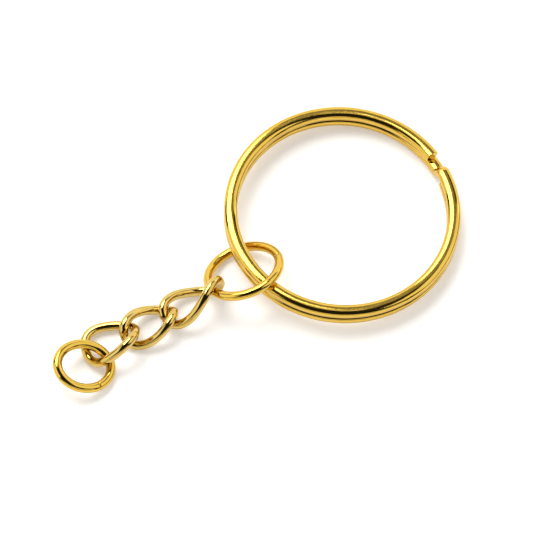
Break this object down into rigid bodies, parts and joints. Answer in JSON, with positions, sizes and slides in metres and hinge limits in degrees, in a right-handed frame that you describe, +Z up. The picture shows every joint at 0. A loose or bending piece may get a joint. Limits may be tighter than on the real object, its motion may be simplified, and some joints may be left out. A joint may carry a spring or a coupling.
{
  "type": "split key ring with chain",
  "caption": "Two-turn split key ring with a short chain of twisted wire links, joined by a connector ring and ending in a smaller jump ring.",
  "frame": {"origin": "on the table, where the split ring's own axis meets it", "axes": "+X away from the chain, which runs out along -X; +Z up from the table, with the rings lying flat"},
  "size_m": [0.0574, 0.03, 0.0058],
  "materials": {
    "ring_plating": "bright plated",
    "chain_plating": "bright plated"
  },
  "bodies": {
    "split_ring": {"split_ring_coil": "ring_plating"},
    "free_turn": {"split_ring_free_turn": "ring_plating"},
    "connector_ring": {"connector_ring": "chain_plating"},
    "chain_link_1": {"chain_link_1": "chain_plating"},
    "chain_link_2": {"chain_link_2": "chain_plating"},
    "chain_link_3": {"chain_link_3": "chain_plating"},
    "end_ring": {"end_ring": "chain_plating"}
  },
  "joints": [
    {"name": "free_end_lift", "type": "hinge", "parent": "split_ring", "child": "free_turn", "pos_m": [-0.01486, -0.00068, 0.00293], "axis": [0.0453, -0.999, -0.0023], "range_deg": [0, 6], "stiffness_Nm_per_rad": 3},
    {"name": "connector_swing", "type": "hinge", "parent": "split_ring", "child": "connector_ring", "pos_m": [-0.01382, -0.00038, 0.00276], "axis": [-0.0268, 0.9996, 0.0014], "range_deg": [0, 120]},
    {"name": "chain_link_1_swing", "type": "hinge", "parent": "connector_ring", "child": "chain_link_1", "pos_m": [-0.01925, 0.00105, 0.00193], "axis": [0, 1, 0], "range_deg": [-6, 30]},
    {"name": "chain_link_2_swing", "type": "hinge", "parent": "chain_link_1", "child": "chain_link_2", "pos_m": [-0.0263, -0.00012, 0.00153], "axis": [-0.074, 0.9036, 0.4218], "range_deg": [-3, 36]},
    {"name": "chain_link_3_swing", "type": "hinge", "parent": "chain_link_2", "child": "chain_link_3", "pos_m": [-0.03191, 0.00038, 0.00146], "axis": [0.001, 0.7016, 0.7126], "range_deg": [-6, 60]},
    {"name": "end_ring_swing", "type": "hinge", "parent": "chain_link_3", "child": "end_ring", "pos_m": [-0.03534, -0.00171, 0.00065], "axis": [0.329, 0.9431, 0.047], "range_deg": [0, 99]}
  ]
}
